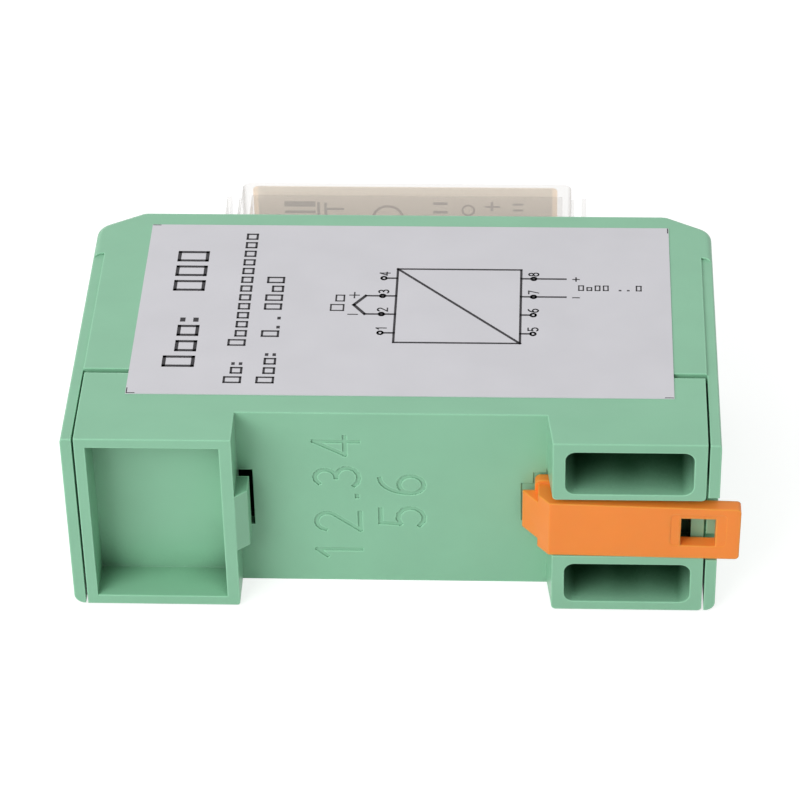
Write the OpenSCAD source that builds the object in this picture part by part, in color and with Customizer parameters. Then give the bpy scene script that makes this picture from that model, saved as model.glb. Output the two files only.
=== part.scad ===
// Temperature transmitter in a moulded housing that snaps onto a 35 mm top-hat rail.
// X runs along the 75 mm length, from the fixed foot (-X) to the sliding latch (+X).
// Y is the depth: the feet point to -Y and the clear cover to +Y.
// Z is the 25 mm width, with the labelled broad side up, as the module lies on a table.
// The origin is on the rail seat, in the middle of the housing's length and width.

/* [Housing] */
// Length of the housing, across the rail
housing_length = 75; // [70:0.5:100]
// Width of the housing, along the rail
housing_width = 25; // [25:0.5:40]
// Height of the hood's front above the rail seat
hood_height = 39.5; // [36:0.5:60]
// How far the feet reach past the rail seat
foot_depth = 5; // [4.9:0.1:7]
// Height of the parting line above the rail seat
seam_height = 7.8; // [7.4:0.1:9]
// Width of the groove along the parting line
seam_gap = 0.4; // [0.2:0.05:0.8]
// Thickness of the hood's broad walls
broad_wall = 1.3; // [1.1:0.1:1.6]
// Thickness of the hood's end walls and of its snap flaps
end_wall = 1.3; // [1.2:0.1:2]
// Thickness of the hood's front wall
front_wall = 1.5; // [1.3:0.1:2]
// Thickness of the base's walls
base_wall = 1.5; // [1.2:0.1:2]
// Thickness of the base's floor behind the rail seat
base_floor = 1.5; // [1.3:0.1:2.2]
// Gap between the base's ends and the hood's flaps
flap_gap = 0.25; // [0.15:0.05:0.5]
// Length of the chamfer on the hood's front corners
chamfer_run = 4.6; // [3:0.1:5]
// Drop of that chamfer
chamfer_drop = 2.7; // [1.5:0.1:3.2]
// Radius between the chamfer and the end wall
shoulder_radius = 2.5; // [1:0.1:3]
// How much narrower the hood's end strips are than its broad sides, on each side
strip_inset = 0.25; // [0.1:0.05:0.5]
// Height at which the inset end strips stop
strip_height = 31.1; // [28:0.1:33]

/* [Rail feet] */
// Distance from the middle of the housing to the fixed foot's wall
fixed_wall_x = 18; // [17.8:0.1:19]
// Distance from the middle of the housing to the latch foot's wall, at the rail seat
latch_wall_x = 17.8; // [17.6:0.1:19]
// How far the latch foot's wall leans back over the foot's depth
latch_wall_lean = 0.65; // [0:0.05:1]
// Thickness of the rail's flange
rail_thickness = 1; // [1:0.1:1.5]
// Play between the rail's flange and what hooks over it
rail_play = 0.1; // [0.05:0.05:0.4]
// How far the fixed hook reaches over the rail
hook_reach = 1.65; // [1.2:0.05:2]
// Length of the fixed hook along the rail
hook_length = 8; // [6:0.5:14]
// Slant of the fixed hook's lead-in face
hook_lead = 1.4; // [1:0.1:2]
// Clearance round the hook's mould slot
slot_clearance = 0.1; // [0.05:0.05:0.3]
// Rim left round the pocket of the fixed foot
fixed_rim = 1.45; // [1.2:0.05:2]
// Depth of the fixed foot's pocket
pocket_depth = 5.25; // [4.5:0.05:5.4]
// Depth of the latch foot's pockets
latch_pocket_depth = 9; // [6.5:0.1:9.5]
// Thickness of the walls round those pockets inside the housing
pocket_wall = 1.1; // [0.9:0.1:1.4]
// Rim between the channel and the pocket on the label's side
upper_rim = 0.8; // [0.7:0.05:1.3]
// Rim between the channel and the other pocket
lower_rim = 1.2; // [0.7:0.05:1.5]
// Rim between those pockets and the broad sides
outer_rim = 1.4; // [1.2:0.05:2]
// Corner radius of the latch foot's pockets
pocket_radius = 1.2; // [0.5:0.1:2]
// Draft of the feet on the broad sides
foot_draft = 0.2; // [0.05:0.05:0.5]

/* [Latch] */
// Width of the latch's body
latch_width = 7.6; // [6.5:0.1:8]
// How much narrower the tail is at its end
tail_taper = 0.3; // [0.2:0.05:0.6]
// How far the tail's end leans out past the feet
tail_lean = 0.35; // [0:0.05:0.5]
// Clearance between the latch's body and the channel, on each side
latch_clearance = 0.4; // [0.4:0.05:1]
// How far the latch has dropped in its channel with the module on its side
latch_drop = 0.3; // [0:0.05:0.3]
// How far the loose latch is turned in its channel, in degrees
latch_turn = 0.6; // [0:0.1:0.6]
// Thickness of the latch's tail
tail_thickness = 1.65; // [1.4:0.05:2]
// How far the tail stands out past the hood's flap
tail_overhang = 2.5; // [2:0.1:4]
// How far the nose reaches over the rail, from the latch's rail stop
nose_reach = 1.4; // [1:0.1:1.8]
// Width of the nose
nose_width = 5.3; // [4:0.1:6]
// Width of the guide flange that keeps the latch in its channel
flange_width = 8.5; // [8.2:0.1:8.8]
// Thickness of the guide flange
flange_thickness = 1.15; // [1:0.05:1.3]
// Play of the guide flange in its grooves
flange_play = 0.2; // [0.2:0.05:0.3]
// Width of the screwdriver window in the tail
window_width = 4; // [3.5:0.1:4.5]
// Length of the screwdriver window along the tail
window_length = 4; // [3.5:0.1:4.5]
// Distance of the window from the middle of the tail's width
window_shift = 0.15; // [0:0.05:0.3]
// Depth of the shallow field round the window
field_depth = 0.05; // [0.02:0.01:0.1]
// How far the latch can be pulled out
latch_travel = 3; // [2.5:0.1:3.2]

/* [Clear cover] */
// Length of the opening in the hood's front
cover_opening = 45; // [40:0.5:50]
// Length of the clear cover's box
cover_length = 41; // [36:0.5:46]
// How far the clear cover stands out of the hood
cover_height = 8.4; // [6:0.1:12]
// Thickness of the clear cover's walls
cover_wall = 1.1; // [0.8:0.1:1.4]
// Radius of the clear cover's front corners
cover_radius = 1.1; // [0.5:0.1:1.8]
// Thickness of the hood's wall beside the opening
opening_lip = 0.85; // [0.6:0.05:1]
// Clearance between the clear cover and the opening
cover_clearance = 0.15; // [0.1:0.05:0.3]
// Thickness of the snap tongues at the cover's ends
tongue_thickness = 0.6; // [0.5:0.05:0.8]
// Thickness of the marking card on the cover's front
card_thickness = 0.15; // [0.1:0.05:0.3]
// Length of the marking card
card_length = 38.1; // [30:0.1:38.2]
// Distance of the card's edges from the cover's broad sides
card_margin = 0.6; // [0.3:0.1:2]
// Shift of the card from the middle of the length
card_shift = -0.3; // [-0.3:0.05:0.3]

/* [Side label] */
// Length of the label
label_length = 63.1; // [40:0.1:66]
// Height of the label
label_height = 33.85; // [20:0.1:34]
// Thickness of the label
label_thickness = 0.1; // [0.05:0.05:0.2]
// Distance of the label's lower edge from the rail seat
label_bottom = 3.2; // [1:0.1:4]
// Shift of the label from the middle of the length
label_shift = 0.75; // [-1:0.05:1.5]

/* [Terminals] */
// Poles at each end
poles = 4; // [2:1:4]
// Distance between poles
pole_pitch = 5.08; // [5:0.01:5.08]
// Radius of a terminal screw's head
screw_head_radius = 1.8; // [1.6:0.05:1.85]
// Radius of the screwdriver holes in the hood
driver_hole_radius = 1.9; // [1.8:0.05:2]
// Side of the wire entries in the hood
wire_entry = 3.7; // [3:0.1:3.9]
// Radius of a terminal screw's shank
screw_radius = 1.25; // [1:0.05:1.4]

/* [Boards] */
// Thickness of the circuit boards
board_thickness = 1.6; // [1:0.1:2]
// Height of the lower board's underside above the rail seat
lower_board_height = 11; // [10:0.5:12]
// Distance from the hood's front down to the upper board's top
upper_board_drop = 13.5; // [13:0.1:14]
// Side of a link pin between the boards
link_pin = 0.64; // [0.5:0.02:0.7]
// Pins in each link row
link_pins = 6; // [2:1:7]
// Distance between link pins
link_pitch = 2.54; // [2:0.01:2.54]
// Radius of an adjuster's head
adjuster_radius = 2.45; // [2:0.05:3]
// Clearance round an adjuster's head
adjuster_clearance = 0.15; // [0.1:0.05:0.3]

/* [Hidden] */
$fn = 48;
half_length = housing_length / 2;
half_width = housing_width / 2;
foot_y = -foot_depth;
base_end = half_length - end_wall - flap_gap;
base_top = seam_height - seam_gap / 2;
hood_bottom = seam_height + seam_gap / 2;
hood_inner_end = half_length - end_wall;
hood_inner_side = half_width - broad_wall;
hood_inner_top = hood_height - front_wall;

// The latch, whose front lies in the plane of the feet
channel_half = latch_width / 2 + latch_clearance;
groove_half = flange_width / 2 + latch_drop + flange_play;
rail_gap = rail_thickness + rail_play;
stop_x = latch_wall_x - 1.4;
tip_x = stop_x - nose_reach;
tip_blunt = 0.2;
ramp_x = tip_x + 3.1;
shoulder_x = stop_x + 0.4;
tail_x = half_length + tail_overhang;
tail_back = foot_y + tail_thickness;
flange_back = -0.2;
flange_front = flange_back - flange_thickness;
relief_depth = 0.12;
relief_margin = 0.15;
latch_turn_x = 24;
latch_body_end = base_end - base_wall - latch_travel - 0.8;
latch_corner = 0.5;
nose_slope = (-rail_gap - tip_blunt - foot_y) / (ramp_x - tip_x);
window_x = half_length - 0.3 - window_length;
field_margin = 1.2;

// The pockets beside the channel
pocket_x = latch_wall_x + 2.1;
box_radius = 0.5;

// The spring well behind the channel
well_x = latch_wall_x + 2.7;
well_end = base_end - base_wall - 0.15;
well_half = 2;
well_depth = 4.3;
well_wall = 1.1;
lug_gap = 0.1;
lug_x = well_x + lug_gap;
lug_thickness = 1.6;
lug_half = 1.6;
lug_end = well_depth - 0.4;
spring_y = 2.15;
spring_gap = 0.03;
spring_wire = 0.22;
spring_radius = 1.3;
spring_turns = 8;
spring_boss_radius = 0.85;
spring_boss_length = 1;

// The clear cover
cover_side = half_width - opening_lip - cover_clearance;
cover_front = hood_height + cover_height;
cover_seat = hood_height - 1;
cover_end = cover_length / 2;
tongue_step = cover_front - 2.6;
tongue_top = cover_front - 2.3;
tongue_side = hood_inner_side - 0.2;
tongue_out = cover_opening / 2 - cover_clearance;
tongue_foot = hood_inner_top - 1.1;
tongue_bend = 0.8;
barb_out = 0.45;

// The boards and what stands on them
lower_top = lower_board_height + board_thickness;
upper_top = hood_height - upper_board_drop;
upper_bottom = upper_top - board_thickness;
upper_half_x = half_length - 2.1;
upper_half_z = half_width - 1.6;
lower_half_x = half_length - 5.5;
lower_half_z = half_width - 1.9;
post_size = 2.2;
link_x = 16.5;
link_hole = 0.5;

// The terminal blocks, drawn for the end at +X
block_end = half_length - 1.5;
block_start = block_end - 9;
block_height = 9.4;
block_half = poles * pole_pitch / 2;
screw_x = block_end - 5.2;
cage_half_x = 2.2;
cage_half_z = 2;
cage_play = 0.1;
cage_bottom = upper_top + 1;
cage_top = cage_bottom + 5.6;
cage_sill = 0.8;
cage_crown = 2.2;
wire_half = 1.4;
shelf_top = cage_top + 0.6;
bar_top = cage_top - cage_crown - 0.1;
bar_thickness = 0.6;
leg_x = block_start + 1.15;
leg_half_x = 0.25;
leg_half_z = 0.45;
leg_hole = 0.7;
wire_y = cage_bottom + cage_sill + 1.1;
head_height = 1.7;
driver_slot = 0.6;
pole_angles = [20, 75, 140, 100];

adjuster_x = 8;
trimmer_side = 9.5;
trimmer_height = 4.8;
adjuster_depth = 1.9;
adjuster_height = 2.1;
adjuster_pin = 0.8;

leaf = "#8ec3a4";
orange = "#f18f44";
glass_clear = [0.85, 0.87, 0.87, 0.4];
board_green = "#2f6b46";
steel = "#b9bcc0";
dark_plastic = "#26282b";

// Box between two corners, given as a range along each axis
module span(x, y, z) {
    translate([x[0], y[0], z[0]])
        cube([x[1] - x[0], y[1] - y[0], z[1] - z[0]]);
}

// An outline drawn in X and Y, carried from z0 to z1
module along_z(z0, z1) {
    translate([0, 0, z0])
        linear_extrude(z1 - z0)
            children();
}

// An outline drawn in X and Z, carried from y0 to y1
module along_y(y0, y1) {
    translate([0, y1, 0])
        rotate([90, 0, 0])
            linear_extrude(y1 - y0)
                children();
}

// An outline drawn in Y and Z, carried from x0 to x1
module along_x(x0, x1) {
    translate([x0, 0, 0])
        rotate([90, 0, 90])
            linear_extrude(x1 - x0)
                children();
}

// Round bar along Y at a point of the XZ plane
module rod_y(x, z, r, y0, y1) {
    translate([x, y1, z])
        rotate([90, 0, 0])
            cylinder(r = r, h = y1 - y0);
}

// Round bar along X at a point of the YZ plane
module rod_x(y, z, r, x0, x1) {
    translate([x0, y, z])
        rotate([0, 90, 0])
            cylinder(r = r, h = x1 - x0);
}

// Rectangle between two corners
module rect(a, b) {
    translate([a[0], b[0]])
        square([a[1] - a[0], b[1] - b[0]]);
}

// Rectangle between two corners with four round ones
module round_rect(a, b, r) {
    rect([a[0] + r, a[1] - r], b);
    rect(a, [b[0] + r, b[1] - r]);
    for (x = [a[0] + r, a[1] - r], y = [b[0] + r, b[1] - r])
        translate([x, y])
            circle(r);
}

// The same thing at both ends of the housing
module both_ends() {
    children();
    mirror([1, 0, 0])
        children();
}

// The same thing on both broad sides
module both_sides() {
    children();
    mirror([0, 0, 1])
        children();
}

function pole_z(i) = (i - (poles - 1) / 2) * pole_pitch;

/* Base housing */

// Side view of the feet, a little narrower at their ends
module foot_side_view() {
    polygon([
        [foot_y, -half_width + foot_draft], [0.01, -half_width],
        [0.01, half_width], [foot_y, half_width - foot_draft]
    ]);
}

module fixed_foot() {
    difference() {
        along_x(-base_end, -fixed_wall_x)
            foot_side_view();
        span(
            [-base_end + fixed_rim - 0.2, -fixed_wall_x - fixed_rim],
            [foot_y - 1, 1],
            [-half_width + fixed_rim, half_width - fixed_rim]
        );
    }
}

// The hook that holds one flange of the rail, with its slanted lead-in face
module fixed_hook() {
    along_z(-hook_length / 2, hook_length / 2)
        polygon([
            [-fixed_wall_x - 0.5, foot_y], [-fixed_wall_x, foot_y],
            [-fixed_wall_x + hook_reach, foot_y + hook_lead], [-fixed_wall_x + hook_reach, -rail_gap],
            [-fixed_wall_x - 0.5, -rail_gap]
        ]);
}

// One of the two hollow boxes beside the latch, on the label's side
module latch_box() {
    intersection() {
        along_z(channel_half, half_width)
            polygon([
                [latch_wall_x, 0.01], [latch_wall_x + latch_wall_lean, foot_y],
                [base_end, foot_y], [base_end, 0.01]
            ]);
        along_x(latch_wall_x - 1, base_end + 1)
            foot_side_view();
        along_y(foot_y - 1, 1)
            children();
    }
}

// Plan of the box on the label's side, with round corners along the channel
module upper_box_plan() {
    round_rect([latch_wall_x + latch_wall_lean, base_end], [channel_half, half_width - 1], box_radius);
    rect([latch_wall_x, latch_wall_x + 3], [channel_half + box_radius, half_width]);
    rect([latch_wall_x, base_end], [half_width - 3, half_width]);
}

// Plan of the other box, with round corners along the broad side
module lower_box_plan() {
    rect([latch_wall_x, base_end], [channel_half, half_width - foot_draft - box_radius]);
    round_rect([latch_wall_x + latch_wall_lean, base_end], [channel_half, half_width - foot_draft], box_radius);
    rect([latch_wall_x, base_end], [channel_half, channel_half + 3]);
}

module latch_pocket(rim) {
    along_y(foot_y - 1, foot_y + latch_pocket_depth)
        round_rect([pocket_x, base_end - fixed_rim], [channel_half + rim, half_width - outer_rim], pocket_radius);
}

// Floor and inner walls of a deep pocket, up to the wall of the spring well
module pocket_shell() {
    span([pocket_x - pocket_wall, base_end - 0.5], [base_floor - 0.1, foot_y + latch_pocket_depth + pocket_wall],
        [well_half + well_wall - 0.1, hood_inner_side - 1]);
}

// Channel, guide grooves and spring well for the sliding latch
module latch_way() {
    span([tip_x - relief_margin, latch_wall_x], [-0.01, relief_depth],
        [-latch_drop - nose_width / 2 - relief_margin, -latch_drop + nose_width / 2 + relief_margin]);
    span([stop_x - relief_margin, latch_wall_x], [-0.01, relief_depth],
        [-latch_drop - flange_width / 2 - relief_margin, -latch_drop + flange_width / 2 + relief_margin]);
    span([latch_wall_x - 0.01, base_end - base_wall], [flange_front - flange_play, relief_depth],
        [-groove_half, groove_half]);
    span([well_x, well_end], [0, well_depth], [-well_half, well_half]);
}

// Wedge that holds the hood's flap
module snap_wedge() {
    both_sides()
        along_z(4.5, 9.5)
            polygon([
                [base_end - 0.1, 2.3], [base_end + 0.7, 2.3], [base_end + 0.7, 2.6], [base_end - 0.1, 5]
            ]);
}

module board_posts() {
    both_sides() {
        span([upper_half_x - post_size, upper_half_x], [base_floor - 0.1, upper_bottom],
            [upper_half_z - 2.3, upper_half_z - 0.9]);
        span([lower_half_x - post_size, lower_half_x - 0.4], [base_floor - 0.1, lower_board_height],
            [lower_half_z - 2.4, lower_half_z - 0.9]);
    }
}

module base_housing() {
    color(leaf)
        difference() {
            union() {
                difference() {
                    union() {
                        span([-base_end, base_end], [0, base_top], [-half_width, half_width]);
                        span([-base_end, base_end], [base_top - 2, base_top + 2],
                            [-hood_inner_side + 0.1, hood_inner_side - 0.1]);
                    }
                    span([-base_end + base_wall, base_end - base_wall], [base_floor, base_top + 3],
                        [-hood_inner_side + 1.1, hood_inner_side - 1.1]);
                }
                span([well_x - well_wall, base_end - 0.5], [base_floor - 0.1, well_depth + well_wall],
                    [-well_half - well_wall, well_half + well_wall]);
                fixed_foot();
                fixed_hook();
                latch_box()
                    upper_box_plan();
                mirror([0, 0, 1])
                    latch_box()
                        lower_box_plan();
                both_sides()
                    pocket_shell();
                span([base_end - base_wall, base_end], [tail_back + 0.25, 0.1], [-channel_half - 0.1, channel_half + 0.1]);
                both_ends() {
                    snap_wedge();
                    board_posts();
                }
            }
            span(
                [-base_end + fixed_rim - 0.2, -fixed_wall_x - fixed_rim],
                [foot_y - 1, foot_y + pocket_depth],
                [-half_width + fixed_rim, half_width - fixed_rim]
            );
            latch_pocket(upper_rim);
            mirror([0, 0, 1])
                latch_pocket(lower_rim);
            latch_way();
            span([-fixed_wall_x, -fixed_wall_x + hook_reach + slot_clearance], [-rail_gap / 2, base_floor + 0.1],
                [-hook_length / 2 - slot_clearance, hook_length / 2 + slot_clearance]);
        }
}

/* Hood */

// Slope of the chamfer and the round shoulder below it
chamfer_angle = atan(chamfer_drop / chamfer_run);
shoulder_run = shoulder_radius * tan((90 - chamfer_angle) / 2);
shoulder_y = hood_height - chamfer_drop;

// Right half of the hood's outline, from the parting line up
module hood_half_outline() {
    polygon([
        [0, hood_bottom], [half_length, hood_bottom], [half_length, shoulder_y - shoulder_run],
        [half_length - shoulder_run * cos(chamfer_angle), shoulder_y + shoulder_run * sin(chamfer_angle)],
        [half_length - chamfer_run, hood_height], [0, hood_height]
    ]);
    translate([half_length - shoulder_radius, shoulder_y - shoulder_run])
        circle(shoulder_radius);
}

module hood_half_cavity() {
    inner_run = chamfer_run + 0.4 - end_wall;
    polygon([
        [-1, hood_bottom - 1], [hood_inner_end, hood_bottom - 1],
        [hood_inner_end, hood_inner_top - inner_run * tan(chamfer_angle)],
        [hood_inner_end - inner_run, hood_inner_top], [-1, hood_inner_top]
    ]);
}

// Flap that reaches down past the base, rounded along its lower outer edge
module snap_flap() {
    radius = 1.2;
    z = half_width - strip_inset;
    difference() {
        along_y(foot_y, hood_bottom + 0.5)
            union() {
                rect([hood_inner_end, half_length], [-z + radius, z]);
                rect([hood_inner_end, half_length - radius], [-z, z]);
                intersection() {
                    translate([half_length - radius, -z + radius])
                        circle(radius);
                    rect([hood_inner_end, half_length], [-z, z]);
                }
            }
        both_sides()
            span([hood_inner_end - 0.1, hood_inner_end + 0.65], [2, 5.3], [4.2, 9.8]);
    }
}

// The inset strip at an end, round at its top
module strip_cut() {
    corner = 1.4;
    inner = hood_inner_end - 0.05;
    both_sides()
        along_z(half_width - strip_inset, half_width + 1)
            union() {
                rect([inner, half_length + 1], [hood_bottom - 1, strip_height - corner]);
                intersection() {
                    translate([inner, strip_height - corner])
                        circle(corner);
                    rect([inner, half_length + 1], [strip_height - corner - 0.1, strip_height]);
                }
            }
}

// Notch in the flap for the latch's tail, with the tongue that a screwdriver bears on
module latch_notch() {
    difference() {
        span([hood_inner_end - 0.5, half_length + 1], [foot_y - 1, 0.5], [-channel_half - 0.45, channel_half + 0.45]);
        span([hood_inner_end, half_length], [tail_back + 0.25, 1], [-2.2, 2.2]);
    }
}

module terminal_openings() {
    for (i = [0 : poles - 1]) {
        rod_y(screw_x, pole_z(i), driver_hole_radius, hood_inner_top - 2, hood_height + 1);
        along_x(hood_inner_end - 0.5, half_length + 1)
            round_rect([wire_y - wire_entry / 2, wire_y + wire_entry / 2],
                [pole_z(i) - wire_entry / 2, pole_z(i) + wire_entry / 2], 0.5);
    }
}

module hood() {
    color(leaf)
        difference() {
            union() {
                difference() {
                    along_z(-half_width, half_width)
                        both_ends()
                            hood_half_outline();
                    along_z(-hood_inner_side, hood_inner_side)
                        both_ends()
                            hood_half_cavity();
                }
                both_ends()
                    snap_flap();
                // Ledges under the clear cover's rim
                both_sides()
                    span([-cover_end + 2, cover_end - 2], [cover_seat - 1.6, cover_seat],
                        [cover_side - cover_wall - 0.1, hood_inner_side + 0.1]);
                // Ribs that hold the upper board down
                both_ends()
                    both_sides()
                        span([23, 25], [upper_top, upper_top + 2], [upper_half_z - 0.7, hood_inner_side + 0.1]);
            }
            both_ends() {
                strip_cut();
                terminal_openings();
            }
            span([-cover_opening / 2, cover_opening / 2], [cover_seat, hood_height + 1],
                [-half_width + opening_lip, half_width - opening_lip]);
            span([-cover_opening / 2, cover_opening / 2], [hood_inner_top - 0.1, cover_seat + 0.1],
                [-hood_inner_side, hood_inner_side]);
            latch_notch();
        }
}

/* Sliding latch */

// Front of the latch, which leans out a little towards the tail's end
function lean_at(x) = tail_lean * (x - ramp_x) / (tail_x - ramp_x);

// Plan of the latch's body, narrower towards the tail's end
module latch_plan() {
    half = latch_width / 2;
    end_half = half - tail_taper / 2;
    polygon([
        [shoulder_x, -half], [tail_x - latch_corner, -end_half], [tail_x, -end_half + latch_corner],
        [tail_x, end_half - latch_corner], [tail_x - latch_corner, end_half], [shoulder_x, half]
    ]);
    for (side = [-1, 1])
        translate([tail_x - latch_corner, side * (end_half - latch_corner)])
            circle(latch_corner);
}

module latch_body() {
    intersection() {
        along_z(-latch_width / 2, latch_width / 2)
            polygon([
                [ramp_x, foot_y], [tail_x, foot_y - lean_at(tail_x)], [tail_x, tail_back - lean_at(tail_x)],
                [latch_body_end, tail_back - lean_at(latch_body_end)], [latch_body_end, flange_back],
                [shoulder_x, flange_back], [shoulder_x, foot_y + (ramp_x - shoulder_x) * nose_slope]
            ]);
        along_y(foot_y - 1, 1)
            latch_plan();
    }
}

module latch_nose() {
    along_z(-nose_width / 2, nose_width / 2)
        polygon([
            [ramp_x, foot_y], [ramp_x + 1, foot_y], [ramp_x + 1, -rail_gap], [tip_x, -rail_gap],
            [tip_x, -rail_gap - tip_blunt]
        ]);
}

// Lug that the spring pushes on, with the boss that centres the spring
module spring_lug() {
    span([lug_x, lug_x + lug_thickness], [flange_back - 0.1, lug_end], [-lug_half, lug_half]);
    rod_x(spring_y, 0, spring_boss_radius, lug_x + lug_thickness - 0.1,
        lug_x + lug_thickness + spring_boss_length);
}

// Shallow field with round corners about the window
module window_field() {
    x0 = window_x - field_margin;
    x1 = window_x + window_length + field_margin;
    half = window_width / 2;
    intersection() {
        along_z(-half - 1, half + 1)
            polygon([
                [x0, foot_y - 1], [x1, foot_y - 1],
                [x1, foot_y - lean_at(x1) + field_depth], [x0, foot_y - lean_at(x0) + field_depth]
            ]);
        along_y(foot_y - 2, foot_y + 1)
            round_rect([x0, x1], [-half, half + 0.6], latch_corner);
    }
}

module foot_latch() {
    color(orange)
        translate([latch_turn_x, 0, -latch_drop])
            rotate([0, latch_turn, 0])
                translate([-latch_turn_x, 0, 0])
                    difference() {
                        union() {
                            latch_body();
                            latch_nose();
                            along_y(flange_front, flange_back)
                                round_rect([stop_x, latch_body_end], [-flange_width / 2, flange_width / 2], 0.7);
                            spring_lug();
                        }
                        translate([0, 0, window_shift]) {
                            window_field();
                            span([window_x, window_x + window_length], [foot_y - 1, tail_back + 1],
                                [-window_width / 2, window_width / 2]);
                        }
                    }
}

// Compression spring between the latch's lug and the end of the well
function coil_point(t, x0, x1) = [
    x0 + (x1 - x0) * t,
    spring_y + spring_radius * cos(360 * spring_turns * t),
    -latch_drop + spring_radius * sin(360 * spring_turns * t)
];

module latch_spring() {
    rings = spring_turns * 14;
    sides = 6;
    x0 = lug_x + lug_thickness + spring_wire + spring_gap;
    x1 = well_end - spring_wire;
    points = [
        for (i = [0 : rings])
            let (p = coil_point(i / rings, x0, x1), turn = 360 * spring_turns * i / rings)
                for (k = [0 : sides - 1])
                    let (a = 360 * k / sides)
                        p + spring_wire * (cos(a) * [0, cos(turn), sin(turn)] + sin(a) * [1, 0, 0])
    ];
    walls = [
        for (i = [0 : rings - 1], k = [0 : sides - 1])
            let (a = i * sides + k, b = i * sides + (k + 1) % sides)
                [a, a + sides, b + sides, b]
    ];
    first_cap = [[for (k = [0 : sides - 1]) k]];
    last_cap = [[for (k = [sides - 1 : -1 : 0]) rings * sides + k]];
    color(steel)
        polyhedron(points = points, faces = concat(walls, first_cap, last_cap));
}

/* Clear cover, and the card stuck on its front */

module cover_end_wall() {
    along_z(-tongue_side, tongue_side)
        union() {
            rect([cover_end - cover_wall, cover_end + 0.35], [cover_seat, tongue_step]);
            rect([cover_end - cover_wall + 0.35, cover_end + 0.35], [tongue_foot, cover_seat + 0.1]);
            rect([cover_end - cover_wall + 0.35, tongue_out], [tongue_foot, tongue_foot + tongue_bend]);
            rect([tongue_out - tongue_thickness, tongue_out], [tongue_foot, tongue_top]);
            polygon([
                [tongue_out - 0.1, tongue_foot], [tongue_out + barb_out, tongue_foot + 0.7],
                [tongue_out + barb_out, hood_inner_top - 0.1], [tongue_out - 0.1, hood_inner_top - 0.1]
            ]);
        }
}

module clear_cover() {
    color(glass_clear) {
        difference() {
            along_z(-cover_side, cover_side)
                union() {
                    rect([-cover_end, cover_end], [cover_seat, cover_front - cover_radius]);
                    round_rect([-cover_end, cover_end], [cover_seat, cover_front], cover_radius);
                }
            span([-cover_end + cover_wall, cover_end - cover_wall], [cover_seat - 1, cover_front - cover_wall],
                [-cover_side + cover_wall, cover_side - cover_wall]);
        }
        both_ends()
            cover_end_wall();
    }
}

module marking_card() {
    left = card_shift - card_length / 2;
    half_height = cover_side - card_margin;
    color("#d9d2c3")
        along_y(cover_front, cover_front + card_thickness)
            round_rect([left, left + card_length], [-half_height, half_height], 0.6);
}

module side_label() {
    left = label_shift - label_length / 2;
    color("#d4d4d8")
        along_z(half_width, half_width + label_thickness)
            rect([left, left + label_length], [label_bottom, label_bottom + label_height]);
}

/* Circuit boards */

// Points of the link pins, in X and Z
link_points = [
    for (x = [-link_x, link_x], i = [0 : link_pins - 1])
        [x, (i - (link_pins - 1) / 2) * link_pitch]
];

module upper_board() {
    color(board_green)
        difference() {
            span([-upper_half_x, upper_half_x], [upper_bottom, upper_top], [-upper_half_z, upper_half_z]);
            for (p = link_points)
                rod_y(p[0], p[1], link_hole, upper_bottom - 1, upper_top + 1);
            both_ends()
                for (i = [0 : poles - 1])
                    rod_y(leg_x, pole_z(i), leg_hole, upper_bottom - 1, upper_top + 1);
        }
}

module lower_board() {
    color(board_green)
        difference() {
            span([-lower_half_x, lower_half_x], [lower_board_height, lower_top], [-lower_half_z, lower_half_z]);
            for (p = link_points)
                rod_y(p[0], p[1], link_hole, lower_board_height - 1, lower_top + 1);
        }
}

module link_pin_bar(p, y0, y1) {
    span([p[0] - link_pin / 2, p[0] + link_pin / 2], [y0, y1], [p[1] - link_pin / 2, p[1] + link_pin / 2]);
}

module board_link_pins() {
    color("#c9a648")
        for (p = link_points)
            link_pin_bar(p, lower_board_height - 1.2, upper_top + 1);
}

module board_link_strips() {
    half = link_pins * link_pitch / 2;
    color(dark_plastic)
        for (x = [-link_x, link_x])
            difference() {
                span([x - 1.25, x + 1.25], [lower_top, lower_top + 2.5], [-half, half]);
                for (p = link_points)
                    link_pin_bar(p, lower_top - 1, lower_top + 4);
            }
}

/* Terminals, drawn for the end at +X */

module terminal_block() {
    color("#5f8f6f")
        difference() {
            span([block_start, block_end], [upper_top, upper_top + block_height], [-block_half, block_half]);
            for (i = [0 : poles - 1]) {
                z = pole_z(i);
                span([leg_x - leg_half_x - cage_play, screw_x + cage_half_x + cage_play],
                    [cage_bottom - cage_play, cage_top + cage_play],
                    [z - cage_half_z - cage_play, z + cage_half_z + cage_play]);
                span([leg_x - leg_half_x - cage_play, leg_x + leg_half_x + cage_play],
                    [upper_top - 1, cage_bottom], [z - leg_half_z - cage_play, z + leg_half_z + cage_play]);
                span([screw_x, block_end + 1], [wire_y - 1.75, wire_y + 1.75], [z - 1.75, z + 1.75]);
                rod_y(screw_x, z, screw_radius + 0.15, cage_top - 1, shelf_top + 1);
                rod_y(screw_x, z, screw_head_radius + 0.1, shelf_top, upper_top + block_height + 1);
            }
        }
}

module clamp_cages() {
    color(steel)
        for (i = [0 : poles - 1])
            difference() {
                span([screw_x - cage_half_x, screw_x + cage_half_x], [cage_bottom, cage_top],
                    [pole_z(i) - cage_half_z, pole_z(i) + cage_half_z]);
                span([screw_x - cage_half_x - 1, screw_x + cage_half_x + 1],
                    [cage_bottom + cage_sill, cage_top - cage_crown],
                    [pole_z(i) - wire_half, pole_z(i) + wire_half]);
                rod_y(screw_x, pole_z(i), screw_radius + 0.05, cage_top - cage_crown - 1, cage_top + 1);
            }
}

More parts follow.
